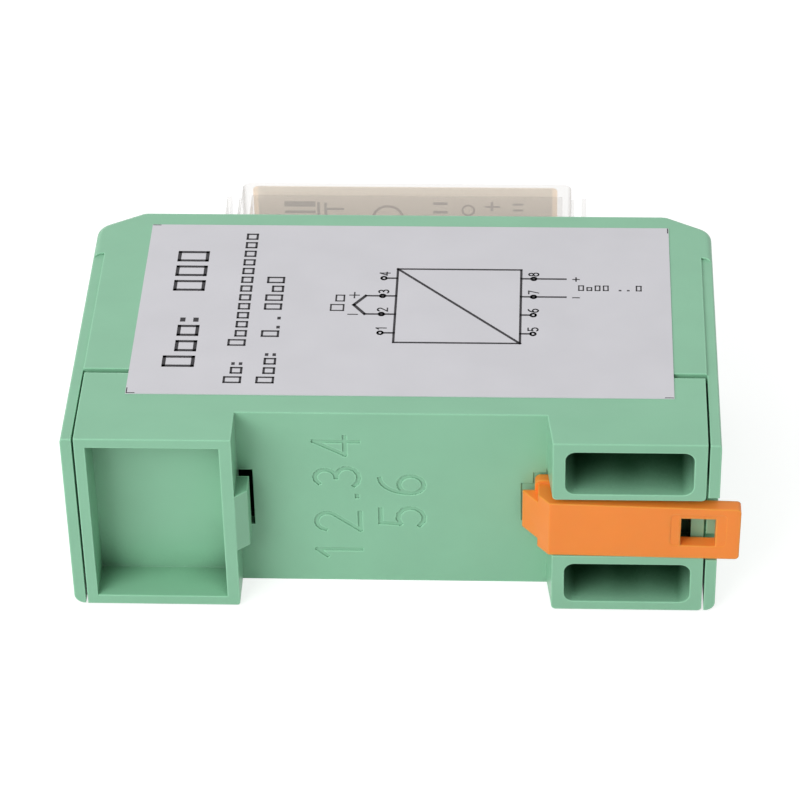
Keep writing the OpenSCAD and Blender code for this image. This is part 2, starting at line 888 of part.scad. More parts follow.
module terminal_screws() {
    color("#a9adb2")
        for (i = [0 : poles - 1])
            difference() {
                union() {
                    rod_y(screw_x, pole_z(i), screw_radius, bar_top, shelf_top + 0.1);
                    rod_y(screw_x, pole_z(i), screw_head_radius, shelf_top, shelf_top + head_height);
                }
                translate([screw_x, shelf_top + head_height, pole_z(i)])
                    rotate([0, pole_angles[i], 0])
                        cube([6, 1.4, driver_slot], center = true);
            }
}

// Bar that the wire is clamped against, and its leg down through the board
module contact_bars() {
    color("#c8b27a")
        for (i = [0 : poles - 1]) {
            z = pole_z(i);
            span([leg_x - leg_half_x, screw_x + cage_half_x + 0.4], [bar_top - bar_thickness, bar_top],
                [z - wire_half + 0.15, z + wire_half - 0.15]);
            span([leg_x - leg_half_x, leg_x + leg_half_x], [upper_bottom - 1.5, bar_top - 0.1],
                [z - leg_half_z, z + leg_half_z]);
        }
}

/* Parts on the upper board */

// Square trimmer with a round well for its adjuster
module trimmer(x) {
    top = upper_top + trimmer_height;
    color("#2f5fa8")
        difference() {
            span([x - trimmer_side / 2, x + trimmer_side / 2], [upper_top, top], [-trimmer_side / 2, trimmer_side / 2]);
            rod_y(x, 0, adjuster_radius + adjuster_clearance, top - adjuster_depth, top + 1);
            rod_y(x, 0, adjuster_pin + adjuster_clearance, upper_top + 1, top);
        }
}

module adjuster(x) {
    bottom = upper_top + trimmer_height - adjuster_depth + 0.1;
    top = bottom + adjuster_height;
    color("#e8e4da")
        difference() {
            union() {
                rod_y(x, 0, adjuster_radius, bottom, top);
                rod_y(x, 0, adjuster_pin, upper_top + 1.2, bottom + 0.1);
            }
            translate([x, top, 0])
                cube([3.6, 1.6, 0.7], center = true);
            translate([x, top, 0])
                cube([0.7, 1.6, 3.6], center = true);
        }
}

// Small sensor body with a flat face, on three legs
module cold_junction_sensor() {
    x = -24.4;
    z = 7.9;
    color(dark_plastic)
        intersection() {
            rod_y(x, z, 2.3, upper_top + 1.5, upper_top + 6);
            span([x - 3, x + 1.3], [upper_top, upper_top + 8], [z - 3, z + 3]);
        }
    color(steel)
        for (i = [-1 : 1])
            span([x - 0.2, x + 0.2], [upper_top, upper_top + 1.5], [z + i * 1.27 - 0.2, z + i * 1.27 + 0.2]);
}

// Chip body standing on two rows of legs along Z
module chip(x, z, y, pins, body_colour) {
    half_body = pins * 1.27;
    color(body_colour)
        span([x - 3.2, x + 3.2], [y + 0.5, y + 3.8], [z - half_body, z + half_body]);
    color(steel)
        for (side = [-1, 1], i = [0 : pins - 1]) {
            leg_z = z + (i - (pins - 1) / 2) * 2.54;
            x_out = x + side * 3.81;
            span([x_out - 0.15, x_out + 0.15], [y, y + 2.2], [leg_z - 0.4, leg_z + 0.4]);
            span([min(x + side * 3.2, x_out), max(x + side * 3.2, x_out)], [y + 1.9, y + 2.2],
                [leg_z - 0.4, leg_z + 0.4]);
        }
}

module filter_capacitors() {
    color("#b5392f")
        for (z = [-5.2, 0, 5.2])
            span([18.9, 26], [upper_top, upper_top + 6.5], [z - 1.5, z + 1.5]);
}

// Resistor lying along Z with its leads bent down to the board
module resistor(x, z, y) {
    lead = 0.3;
    color("#c9b48a")
        translate([x, y + 1.3, z - 3.1])
            cylinder(r = 1.15, h = 6.2);
    color(steel)
        for (side = [-1, 1]) {
            translate([x, y + 1.3, min(z + side * 3.1, z + side * 4.4)])
                cylinder(r = lead, h = 1.3);
            rod_y(x, z + side * 4.4, lead, y, y + 1.3 + lead);
        }
}

module upper_resistors() {
    for (x = [-1.6, 1.6])
        resistor(x, 0, upper_top);
}

/* Parts on the lower board */

transformer_half = 6.5;
core_depth = 2;
core_bottom = lower_top + 0.6;
core_top = core_bottom + 9.2;
core_yoke = 1.4;
limb_half = 1.8;
side_limb = 1.5;
coil_bottom = core_bottom + core_yoke;
coil_top = core_top - core_yoke;
flange_disc = 0.6;
sleeve = 0.4;
coil_radius = 4.4;

module transformer_core() {
    color("#4a4a4e")
        difference() {
            span([-transformer_half, transformer_half], [core_bottom, core_top], [-core_depth, core_depth]);
            both_ends()
                span([limb_half, transformer_half - side_limb], [coil_bottom, coil_top],
                    [-core_depth - 1, core_depth + 1]);
        }
}

module limb_hole(y0, y1) {
    span([-limb_half, limb_half], [y0, y1], [-core_depth, core_depth]);
}

module transformer_bobbin() {
    flange_radius = transformer_half - side_limb - 0.1;
    color("#3b3d42")
        difference() {
            union() {
                span([-6.5, 6.5], [lower_top, core_bottom], [-5.5, 5.5]);
                both_sides()
                    span([-3, 3], [core_bottom - 0.1, coil_bottom + 0.1], [core_depth, 4.2]);
                rod_y(0, 0, flange_radius, coil_bottom, coil_bottom + flange_disc);
                rod_y(0, 0, flange_radius, coil_top - flange_disc, coil_top);
                span([-limb_half - sleeve, limb_half + sleeve], [coil_bottom, coil_top],
                    [-core_depth - sleeve, core_depth + sleeve]);
            }
            limb_hole(coil_bottom - 0.2, coil_top + 1);
        }
}

module transformer_winding() {
    color("#b5713a")
        difference() {
            rod_y(0, 0, coil_radius, coil_bottom + flange_disc, coil_top - flange_disc);
            span([-limb_half - sleeve, limb_half + sleeve], [coil_bottom, coil_top],
                [-core_depth - sleeve, core_depth + sleeve]);
        }
}

module smoothing_capacitors() {
    color("#33373c")
        both_sides() {
            rod_y(24, 5.1, 3.15, lower_top + 1, lower_top + 8.7);
            span([20.8, 27.2], [lower_top, lower_top + 1], [1.9, 8.3]);
        }
}

// Power transistor with its tab flat on the board
module output_transistor() {
    color(dark_plastic)
        span([8.6, 14.6], [lower_top + 0.5, lower_top + 2.8], [-3.2, 3.2]);
    color(steel) {
        span([7.6, 13], [lower_top, lower_top + 0.5], [-2.7, 2.7]);
        for (z = [-2.2, 2.2])
            span([14.6, 15.1], [lower_top, lower_top + 1.2], [z - 0.4, z + 0.4]);
    }
}

module rectifier_diodes() {
    for (i = [-1 : 1]) {
        color("#232427")
            translate([-29, lower_top + 1.3, i * 6.4 - 2.1])
                cylinder(r = 1.3, h = 4.2);
        color(steel)
            for (side = [-1, 1])
                translate([-29, lower_top, i * 6.4 + side * 2.35 - 0.25])
                    translate([-0.7, 0, 0])
                        cube([1.4, 1.8, 0.5]);
    }
}

base_housing();
hood();
foot_latch();
latch_spring();
clear_cover();
marking_card();
side_label();
upper_board();
lower_board();
board_link_pins();
board_link_strips();
mirror([1, 0, 0]) terminal_block();  // input_terminal_block
terminal_block();  // output_terminal_block
mirror([1, 0, 0]) clamp_cages();  // input_clamp_cages
clamp_cages();  // output_clamp_cages
mirror([1, 0, 0]) terminal_screws();  // input_terminal_screws
terminal_screws();  // output_terminal_screws
mirror([1, 0, 0]) contact_bars();  // input_contact_bars
contact_bars();  // output_contact_bars
trimmer(-adjuster_x);  // zero_trimmer
adjuster(-adjuster_x);  // zero_adjuster
trimmer(adjuster_x);  // span_trimmer
adjuster(adjuster_x);  // span_adjuster
cold_junction_sensor();
chip(-22, -2, upper_top, 4, dark_plastic);  // input_amplifier
filter_capacitors();
upper_resistors();
transformer_bobbin();
transformer_winding();
transformer_core();
chip(-23, 0, lower_top, 3, "#e9e6df");  // optocoupler
smoothing_capacitors();
output_transistor();
rectifier_diodes();
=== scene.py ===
"""Looks of a rail-mounted temperature transmitter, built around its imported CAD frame.

Lengths in this file are in millimetres and are turned into metres where meshes are made.
X runs along the housing to the latch, Y from the rail feet to the clear cover, Z up to the label.
"""

import math

import bmesh
import bpy
from mathutils import Matrix, Vector


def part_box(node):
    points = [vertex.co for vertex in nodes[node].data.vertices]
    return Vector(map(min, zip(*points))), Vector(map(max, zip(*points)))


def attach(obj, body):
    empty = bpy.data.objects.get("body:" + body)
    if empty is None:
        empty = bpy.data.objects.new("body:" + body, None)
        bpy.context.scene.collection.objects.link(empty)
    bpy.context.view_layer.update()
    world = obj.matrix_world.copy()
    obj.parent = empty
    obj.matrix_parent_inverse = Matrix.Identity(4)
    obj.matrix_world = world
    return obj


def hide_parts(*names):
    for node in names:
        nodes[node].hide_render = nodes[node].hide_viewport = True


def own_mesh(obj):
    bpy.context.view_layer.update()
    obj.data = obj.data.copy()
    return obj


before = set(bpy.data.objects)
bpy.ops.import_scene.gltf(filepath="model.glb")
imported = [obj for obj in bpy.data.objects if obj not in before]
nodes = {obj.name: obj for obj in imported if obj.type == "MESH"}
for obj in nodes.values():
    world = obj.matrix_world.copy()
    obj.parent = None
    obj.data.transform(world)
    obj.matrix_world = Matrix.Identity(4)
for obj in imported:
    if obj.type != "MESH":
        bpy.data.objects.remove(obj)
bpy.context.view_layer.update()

MM = 0.001


def box_mm(node):
    """Lowest and highest corner of a CAD node, in millimetres."""
    low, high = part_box(node)
    return low / MM, high / MM


# Camera of the photograph

CAMERA_PLACE = Vector((17.98, -315.23, 259.65))
CAMERA_RIGHT = Vector((0.99905, 0.03950, -0.01823))
CAMERA_UP = Vector((-0.00988, 0.61355, 0.78960))
SENSOR = 36.0
FOCAL_LENGTH = 158.24


def make_camera():
    data = bpy.data.cameras.new("camera")
    data.sensor_width = SENSOR
    data.lens = FOCAL_LENGTH
    data.clip_start = 0.01
    data.clip_end = 20
    camera = bpy.data.objects.new("camera", data)
    bpy.context.scene.collection.objects.link(camera)
    right = CAMERA_RIGHT.normalized()
    back = right.cross(CAMERA_UP).normalized()
    up = back.cross(right)
    turn = Matrix((right, up, back)).transposed().to_4x4()
    camera.matrix_world = Matrix.Translation(CAMERA_PLACE * MM) @ turn
    bpy.context.scene.camera = camera


# Colours, as they are seen in even light


def linear(red, green, blue):
    """A display colour from 0 to 255 as a scene colour."""
    parts = []
    for value in (red, green, blue):
        value /= 255
        parts.append(value / 12.92 if value <= 0.04045 else ((value + 0.055) / 1.055) ** 2.4)
    return (*parts, 1.0)


LEAF = linear(139, 194, 161)
# Painted shade for the housing's narrow pockets
PAINTED_POCKET_SHADE = linear(16, 66, 34)
ORANGE = linear(250, 142, 53)
FILM = linear(212, 211, 216)
INK = linear(46, 44, 48)
CLEAR = linear(206, 198, 190)
CARD = linear(243, 233, 221)
CARD_INK = linear(202, 194, 188)
CARD_FIELD = linear(150, 172, 156)
BOARD = linear(34, 92, 52)
TERMINAL = linear(72, 118, 88)
BLACK = linear(38, 39, 42)
OFF_WHITE = linear(226, 222, 210)
BLUE = linear(38, 84, 160)
RED = linear(168, 48, 38)
SLEEVE = linear(44, 48, 56)
TAN = linear(190, 162, 118)
COPPER = linear(184, 104, 58)
FERRITE = linear(66, 66, 70)
STEEL = linear(176, 178, 182)
TIN = linear(196, 186, 158)


# Materials


class Nodes:
    """One material and its node tree."""

    def __init__(self, name):
        self.material = bpy.data.materials.new(name)
        self.material.use_nodes = True
        self.tree = self.material.node_tree
        self.shader = self.tree.nodes["Principled BSDF"]
        self.place = self.add("ShaderNodeTexCoord").outputs["Object"]

    def add(self, kind, **values):
        node = self.tree.nodes.new(kind)
        for name, value in values.items():
            setattr(node, name, value)
        return node

    def link(self, source, target):
        self.tree.links.new(source, target)

    def stretched(self, factors):
        """The object's own coordinates, stretched along each axis."""
        mapping = self.add("ShaderNodeMapping")
        mapping.inputs["Scale"].default_value = factors
        self.link(self.place, mapping.inputs["Vector"])
        return mapping.outputs["Vector"]

    def noise(self, size, detail=2.0, place=None):
        """Noise whose features are about size millimetres across."""
        node = self.add("ShaderNodeTexNoise")
        node.inputs["Scale"].default_value = 1 / (size * MM)
        node.inputs["Detail"].default_value = detail
        self.link(place or self.place, node.inputs["Vector"])
        return node.outputs["Fac"]

    def ramp(self, source, low, high, low_at=0.3, high_at=0.7):
        """A colour that goes from low to high as source rises."""
        node = self.add("ShaderNodeValToRGB")
        node.color_ramp.elements[0].position = low_at
        node.color_ramp.elements[0].color = low
        node.color_ramp.elements[1].position = high_at
        node.color_ramp.elements[1].color = high
        self.link(source, node.inputs["Fac"])
        return node.outputs["Color"]

    def span(self, source, low, high):
        """A number that goes from low to high as source rises."""
        node = self.add("ShaderNodeMapRange")
        node.inputs["From Min"].default_value = 0.3
        node.inputs["From Max"].default_value = 0.7
        node.inputs["To Min"].default_value = low
        node.inputs["To Max"].default_value = high
        self.link(source, node.inputs["Value"])
        return node.outputs["Result"]

    def bump(self, source, height, strength=1.0, under=None):
        """Surface relief of the given height in millimetres."""
        node = self.add("ShaderNodeBump")
        node.inputs["Strength"].default_value = strength
        node.inputs["Distance"].default_value = height * MM
        self.link(source, node.inputs["Height"])
        if under is not None:
            self.link(under, node.inputs["Normal"])
        return node.outputs["Normal"]

    def soft_edges(self, radius):
        """A surface direction that rounds the edges by the given radius in millimetres."""
        node = self.add("ShaderNodeBevel", samples=6)
        node.inputs["Radius"].default_value = radius * MM
        return node.outputs["Normal"]

    def blend_by_shelter(self, colour, other, reach, open_at, closed_at, inside=False):
        """Turns colour into another where nearby surfaces close a spot in, within reach millimetres: a
        painted shade in pockets, or with inside set, a painted highlight on outer edges.
        """
        shelter = self.add("ShaderNodeAmbientOcclusion", inside=inside, only_local=True, samples=8)
        shelter.inputs["Distance"].default_value = reach * MM
        amount = self.add("ShaderNodeMapRange")
        amount.inputs["From Min"].default_value = open_at
        amount.inputs["From Max"].default_value = closed_at
        self.link(shelter.outputs["AO"], amount.inputs["Value"])
        mix = self.add("ShaderNodeMix", data_type="RGBA")
        mix.inputs["B"].default_value = other
        self.link(amount.outputs["Result"], mix.inputs["Factor"])
        self.link(colour, mix.inputs["A"])
        return mix.outputs["Result"]

    def set(self, **values):
        for name, value in values.items():
            self.shader.inputs[name.replace("_", " ")].default_value = value

    def drive(self, name, source):
        self.link(source, self.shader.inputs[name])


def shade(colour, factor):
    """The same colour, lighter or darker."""
    return (*(min(1.0, part * factor) for part in colour[:3]), 1.0)


# Reach in millimetres and lift of the painted highlight on outer edges, then reach of the painted shade in
# pockets
HIGHLIGHT_REACH = 0.22
HIGHLIGHT_LIFT = 1.35
POCKET_REACH = 10.0
SEEP_DEPTH = 1.2
SEEP_COLOURS = (1.0, 0.35, 0.12)


def moulded(
    name, colour, roughness=0.5, grain=0.09, relief=0.012, mottle=0.03, edge=0.2, glow=0.0, pocket_shade=None
):
    """Moulded plastic with a spark-eroded grain, faint flow marks and painted highlights on outer edges.

    glow is how much light seeps in; the colour given last is painted into narrow pockets as shade.
    """
    material = Nodes(name)
    flow = material.noise(9.0, 3.0, material.stretched((1.0, 1.6, 1.0)))
    body = material.ramp(flow, shade(colour, 1 - mottle), shade(colour, 1 + mottle))
    # Painted shade: the colour turns darker where nearby walls close a pocket in
    if pocket_shade:
        body = material.blend_by_shelter(body, pocket_shade, POCKET_REACH, 0.5, 0.12)
    # Painted highlight: outer edges turn lighter
    highlight_colour = shade(colour, HIGHLIGHT_LIFT)
    highlighted = material.blend_by_shelter(body, highlight_colour, HIGHLIGHT_REACH, 0.95, 0.55, inside=True)
    material.drive("Base Color", highlighted)
    pits = material.noise(grain, 2.0)
    waves = material.noise(2.4, 2.0)
    material.drive("Roughness", material.span(waves, roughness - 0.05, roughness + 0.06))
    waved = material.bump(waves, 0.02, 0.4, material.soft_edges(edge))
    material.drive("Normal", material.bump(pits, relief, 0.7, waved))
    material.set(Specular_IOR_Level=0.42, IOR=1.5)
    if glow:
        material.set(Subsurface_Weight=glow, Subsurface_Scale=SEEP_DEPTH * MM)
        material.set(Subsurface_Radius=SEEP_COLOURS)
    return material.material


def polished(name, colour, roughness=0.22, mottle=0.03):
    """Smooth plastic or lacquer with a faint orange-peel surface."""
    material = Nodes(name)
    waves = material.noise(1.2, 2.0)
    material.drive("Base Color", material.ramp(waves, shade(colour, 1 - mottle), shade(colour, 1 + mottle)))
    material.drive("Roughness", material.span(waves, roughness, roughness + 0.08))
    material.drive("Normal", material.bump(waves, 0.008, 0.5))
    material.set(Coat_Weight=0.15, Coat_Roughness=0.1)
    return material.material


def metal(name, colour, roughness=0.32, drawn=(1.0, 14.0, 1.0)):
    """Plated metal with fine drawing lines along one axis."""
    material = Nodes(name)
    lines = material.noise(0.5, 4.0, material.stretched(drawn))
    blotches = material.noise(1.6, 2.0)
    material.drive("Base Color", material.ramp(blotches, shade(colour, 0.86), shade(colour, 1.06)))
    material.drive("Roughness", material.span(lines, roughness - 0.08, roughness + 0.12))
    material.drive("Normal", material.bump(lines, 0.006, 0.6))
    material.set(Metallic=1.0)
    return material.material


def clear_plastic():
    """Clear plastic that shows what is behind it, and more of its own milky grey at a glance."""
    material = Nodes("clear_plastic")
    waves = material.noise(5.0, 2.0)
    material.drive("Roughness", material.span(waves, 0.05, 0.12))
    material.drive("Normal", material.bump(waves, 0.02, 0.35, material.soft_edges(0.15)))
    glance = material.add("ShaderNodeLayerWeight")
    glance.inputs["Blend"].default_value = 0.5
    material.drive("Alpha", material.span(glance.outputs["Facing"], 0.06, 0.5))
    material.set(Base_Color=CLEAR, IOR=1.49)
    return material.material


def label_film():
    """Matt printed film with a very fine fibre grain."""
    material = Nodes("label_film")
    fibres = material.noise(0.16, 4.0, material.stretched((1.0, 3.0, 1.0)))
    clouds = material.noise(7.0, 2.0)
    material.drive("Base Color", material.ramp(clouds, shade(FILM, 0.975), shade(FILM, 1.02)))
    material.drive("Roughness", material.span(fibres, 0.5, 0.62))
    material.drive("Normal", material.bump(fibres, 0.004, 0.5))
    material.set(Specular_IOR_Level=0.35)
    return material.material


def ink(name, colour):
    """Print whose density varies a little."""
    material = Nodes(name)
    density = material.noise(0.25, 2.0)
    material.drive("Base Color", material.ramp(density, shade(colour, 0.8), shade(colour, 1.25)))
    material.drive("Roughness", material.span(density, 0.45, 0.6))
    material.set(Specular_IOR_Level=0.3)
    return material.material


def card_stock(name, colour, painted_glow):
    """Card with visible fibres, or print soaked into it; the last argument is the strength of a painted
    glow in its own colour, in place of light that comes through it.
    """
    material = Nodes(name)
    fibres = material.noise(0.35, 5.0, material.stretched((1.0, 1.0, 2.5)))
    material.drive("Base Color", material.ramp(fibres, shade(colour, 0.94), shade(colour, 1.04)))
    material.drive("Normal", material.bump(fibres, 0.012, 0.5))
    material.set(Roughness=0.75, Specular_IOR_Level=0.25)
    # Painted glow: the card shines in its own colour, standing in for light that comes through it
    material.set(Emission_Color=colour, Emission_Strength=painted_glow)
    return material.material


def board_laminate():
    """Glass-fibre board under solder mask, with the weave just showing and copper tracks below it."""
    material = Nodes("board_laminate")
    weave = material.add("ShaderNodeTexWave", wave_type="BANDS", bands_direction="X")
    weave.inputs["Scale"].default_value = 260.0
    weave.inputs["Distortion"].default_value = 1.5
    material.link(material.place, weave.inputs["Vector"])
    tracks = material.add("ShaderNodeTexVoronoi", distance="CHEBYCHEV")
    tracks.inputs["Scale"].default_value = 260.0
    material.link(material.place, tracks.inputs["Vector"])
    colour = material.ramp(tracks.outputs["Distance"], shade(BOARD, 0.8), shade(BOARD, 1.35), 0.42, 0.46)
    material.drive("Base Color", colour)
    material.drive("Normal", material.bump(weave.outputs["Fac"], 0.006, 0.35))
    material.set(Roughness=0.3, Coat_Weight=0.3, Coat_Roughness=0.15)
    return material.material


def wound_wire():
    """Turns of lacquered copper wire."""
    material = Nodes("winding_copper")
    turns = material.add("ShaderNodeTexWave", wave_type="BANDS", bands_direction="Y")
    turns.inputs["Scale"].default_value = 1150.0
    turns.inputs["Distortion"].default_value = 0.6
    material.link(material.place, turns.inputs["Vector"])
    colour = material.ramp(turns.outputs["Fac"], shade(COPPER, 0.5), shade(COPPER, 1.1))
    material.drive("Base Color", colour)
    material.drive("Normal", material.bump(turns.outputs["Fac"], 0.1, 0.9))
    material.set(Metallic=0.7, Roughness=0.35, Coat_Weight=0.5)
    return material.material


def banded(name, colour, bands):
    """Lacquered body with painted rings along Z, each given as (place, half width, colour)."""
    material = Nodes(name)
    split = material.add("ShaderNodeSeparateXYZ")
    material.link(material.place, split.inputs[0])
    waves = material.noise(1.0, 2.0)
    mixed = material.ramp(waves, shade(colour, 0.92), shade(colour, 1.06))
    for place, half_width, band_colour in bands:
        offset = material.add("ShaderNodeMath", operation="SUBTRACT")
        offset.inputs[1].default_value = place * MM
        material.link(split.outputs["Z"], offset.inputs[0])
        distance = material.add("ShaderNodeMath", operation="ABSOLUTE")
        material.link(offset.outputs[0], distance.inputs[0])
        inside = material.add("ShaderNodeMath", operation="LESS_THAN")
        inside.inputs[1].default_value = half_width * MM
        material.link(distance.outputs[0], inside.inputs[0])
        mix = material.add("ShaderNodeMix", data_type="RGBA")
        mix.inputs["B"].default_value = band_colour
        material.link(inside.outputs[0], mix.inputs["Factor"])
        material.link(mixed, mix.inputs["A"])
        mixed = mix.outputs["Result"]
    material.drive("Base Color", mixed)
    material.set(Roughness=0.3, Coat_Weight=0.3)
    return material.material


def paint(material, *names):
    """Gives CAD nodes their material."""
    for name in names:
        slots = nodes[name].data.materials
        slots.clear()
        slots.append(material)


# Small flat and raised shapes


def new_piece(name, mesh, material):
    """A finished mesh as a piece that rides on the housing."""
    mesh.materials.append(material)
    piece = bpy.data.objects.new(name, mesh)
    bpy.context.scene.collection.objects.link(piece)
    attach(piece, "housing")
    return piece


def arc(centre, radius, start, end, steps):
    """Points along part of a circle, with angles in radians."""
    angles = [start + (end - start) * i / steps for i in range(steps + 1)]
    return [(centre[0] + radius * math.cos(a), centre[1] + radius * math.sin(a)) for a in angles]


# Boxes and dots, as shares of their row's height, pitch and pen
BOX_HEIGHTS = {"#": 1.0, "=": 0.68}
BOX_SHARE = 0.72
DOT_HEIGHTS = {":": (0.14, 0.55), ".": (0.1,)}
DOT_HALF = 0.2
DOT_WIDTH = 1.5


class Relief:
    """Thin shapes on a flat face, drawn in millimetres in that face's own two directions."""

    def __init__(self, origin, right, up, height, sink=0.0):
        self.mesh = bmesh.new()
        self.origin = Vector(origin)
        self.right = Vector(right)
        self.up = Vector(up)
        self.out = self.right.cross(self.up)
        self.height = height
        self.sink = sink

    def at(self, u, v, level):
        return (self.origin + self.right * u + self.up * v + self.out * level) * MM

    def prism(self, outline):
        """A raised shape with the given outline."""
        low = [self.mesh.verts.new(self.at(u, v, -self.sink)) for u, v in outline]
        high = [self.mesh.verts.new(self.at(u, v, self.height)) for u, v in outline]
        self.mesh.faces.new(high)
        self.mesh.faces.new(list(reversed(low)))
        for i in range(len(outline)):
            j = (i + 1) % len(outline)
            self.mesh.faces.new((low[i], low[j], high[j], high[i]))

    def stroke(self, start, end, width):
        """A straight pen stroke with square ends."""
        a, b = Vector(start), Vector(end)
        along = (b - a).normalized() * (width / 2)
        side = Vector((-along.y, along.x))
        a, b = a - along, b + along
        self.prism([a - side, b - side, b + side, a + side])

    def polyline(self, points, width):
        for a, b in zip(points, points[1:]):
            self.stroke(a, b, width)

    def bar(self, start, end):
        """A filled rectangle between two corners."""
        (u0, v0), (u1, v1) = start, end
        self.prism([(u0, v0), (u1, v0), (u1, v1), (u0, v1)])

    def ring(self, centre, radius, width, steps=20):
        """A pen stroke along a circle."""
        self.polyline(arc(centre, radius, 0, 2 * math.pi, steps), width)

    def digits(self, text, start, size, width, pitch, turned=False):
        """Figures in a plain single-stroke form, size millimetres tall."""
        reach = 0.0
        for character in text:
            for line in DIGIT_LINES[character]:
                points = []
                for u, v in line:
                    along = reach + u * size
                    across = v * size
                    if turned:
                        points.append((start[0] - across, start[1] + along))
                    else:
                        points.append((start[0] + along, start[1] + across))
                self.polyline(points, width)
            reach += pitch / 2 if character == "." else pitch

    def blocks(self, pattern, start, size, pitch, pen, turned=False):
        """A row of plain boxes and dots, one for each sign of the pattern."""

        def draw(points, width):
            if turned:
                points = [(-across, along) for along, across in points]
            self.polyline([(start[0] + u, start[1] + v) for u, v in points], width)

        for i, sign in enumerate(pattern):
            left, right = i * pitch + pen / 2, (i + BOX_SHARE) * pitch - pen / 2
            if sign in BOX_HEIGHTS:
                low, high = pen / 2, BOX_HEIGHTS[sign] * size - pen / 2
                draw([(left, low), (right, low), (right, high), (left, high), (left, low)], pen)
            for height in DOT_HEIGHTS.get(sign, ()):
                level = height * size
                draw([(left - pen * DOT_HALF, level), (left + pen * DOT_HALF, level)], pen * DOT_WIDTH)

    def closed_mesh(self, name):
        mesh = bpy.data.meshes.new(name)
        bmesh.ops.recalc_face_normals(self.mesh, faces=self.mesh.faces)
        self.mesh.to_mesh(mesh)
        self.mesh.free()
        return mesh

    def finish(self, name, material):
        return new_piece(name, self.closed_mesh(name), material)

    def cutter(self, name):
        """The shapes as a hidden tool that cuts other pieces."""
        tool = bpy.data.objects.new(name, self.closed_mesh(name))
        bpy.context.scene.collection.objects.link(tool)
        tool.hide_render = True
        tool.hide_viewport = True
        return tool


def bow(u, v, half_wide, half_tall, start, end, steps=9):
    """Points along part of an ellipse, with angles in degrees."""
    angles = [math.radians(start + (end - start) * i / steps) for i in range(steps + 1)]
    return [(u + half_wide * math.cos(a), v + half_tall * math.sin(a)) for a in angles]


# Figures as pen lines in a cell half as wide as it is tall
DIGIT_LINES = {
    "1": [[(0.1, 0.78), (0.3, 1.0), (0.3, 0.0)]],
    "2": [bow(0.25, 0.74, 0.25, 0.26, 165, -35) + [(0.0, 0.0), (0.52, 0.0)]],
    "3": [bow(0.22, 0.76, 0.22, 0.24, 140, -90) + bow(0.22, 0.26, 0.28, 0.26, 90, -145)],
    "4": [[(0.38, 0.0), (0.38, 1.0), (0.0, 0.3), (0.52, 0.3)]],
    "5": [[(0.46, 1.0), (0.06, 1.0), (0.03, 0.56)] + bow(0.21, 0.3, 0.29, 0.3, 125, -140)],
    "6": [bow(0.46, 0.34, 0.46, 0.66, 95, 180) + bow(0.25, 0.28, 0.25, 0.28, 180, 540, 16)],
    "7": [[(0.0, 1.0), (0.5, 1.0), (0.16, 0.0)]],
    "8": [bow(0.25, 0.77, 0.21, 0.23, -90, 270, 14), bow(0.25, 0.27, 0.25, 0.27, 90, 450, 16)],
    ".": [[(0.1, 0.05), (0.14, 0.05)]],
}


# Print on the side label

PEN = 0.28
CONVERTER = ((-0.33, 13.4), (14.5, 28.1))
LEFT_PINS = {"4": 26.2, "3": 22.6, "2": 18.95, "1": 15.25}
RIGHT_PINS = {"8": 26.3, "7": 22.65, "6": 19.0, "5": 15.3}
LEFT_PIN_X = -1.95
RIGHT_PIN_X = 16.0
LEFT_WIRE_X = -3.95
RIGHT_WIRE_X = 19.8
JUNCTION = (-5.3, 20.75)
PIN_RADIUS = 0.29
PIN_PEN = 0.252
# From a pin's centre to the end of its own short wire
PIN_GAP = 0.3
DIAGONAL_PEN = 0.322
JUNCTION_PEN = 0.392
FIGURE_SIZE = 1.15
FIGURE_SHIFT = 0.6
LEFT_FIGURE_X = -1.275
RIGHT_FIGURE_X = 16.575
SIGN_PEN = 0.17
# Half length of a sign's stroke, centre of the plus and centre of the minus
SIGNS = [(0.36, (21.05, 26.25), (21.05, 22.55)), (0.55, (-5.3, 22.7), (-5.35, 18.85))]
CROP_PEN = 0.12
CROP_REACH = 0.9
PRINT_HEIGHT = 0.012
# Rows of plain boxes: pattern, start, height of a box, distance between boxes, pen
BOX_ROWS = [
    ("#==: ###", (-23.3, 8.3), 3.8, 3.0, 0.42),
    ("#=: #============", (-17.6, 5.3), 2.15, 1.79, 0.27),
    ("#==: #..##=#", (-13.8, 5.3), 2.15, 1.79, 0.27),
    ("#=", (-6.4, 19.5), 1.7, 1.9, 0.2),
]
SIDE_ROW = ("#=## ..#", (21.3, 23.95), 1.1, 0.98, 0.17)


def draw_converter(sheet):
    (x0, y0), (x1, y1) = CONVERTER
    sheet.polyline([(x0, y0), (x1, y0), (x1, y1), (x0, y1), (x0, y0)], PEN)
    sheet.stroke((x0, y1), (x1, y0), DIAGONAL_PEN)
    for figure, y in LEFT_PINS.items():
        end = LEFT_WIRE_X if figure in "23" else LEFT_PIN_X + PIN_GAP
        sheet.stroke((x0, y), (end, y), PEN)
        sheet.ring((LEFT_PIN_X, y), PIN_RADIUS, PIN_PEN)
        sheet.digits(figure, (LEFT_FIGURE_X, y + FIGURE_SHIFT), FIGURE_SIZE, SIGN_PEN, 0, True)
    for figure, y in RIGHT_PINS.items():
        end = RIGHT_WIRE_X if figure in "78" else RIGHT_PIN_X - PIN_GAP
        sheet.stroke((x1, y), (end, y), PEN)
        sheet.ring((RIGHT_PIN_X, y), PIN_RADIUS, PIN_PEN)
        sheet.digits(figure, (RIGHT_FIGURE_X, y + FIGURE_SHIFT), FIGURE_SIZE, SIGN_PEN, 0, True)
    top = (LEFT_WIRE_X, LEFT_PINS["3"])
    bottom = (LEFT_WIRE_X, LEFT_PINS["2"])
    sheet.polyline([top, JUNCTION, bottom], JUNCTION_PEN)


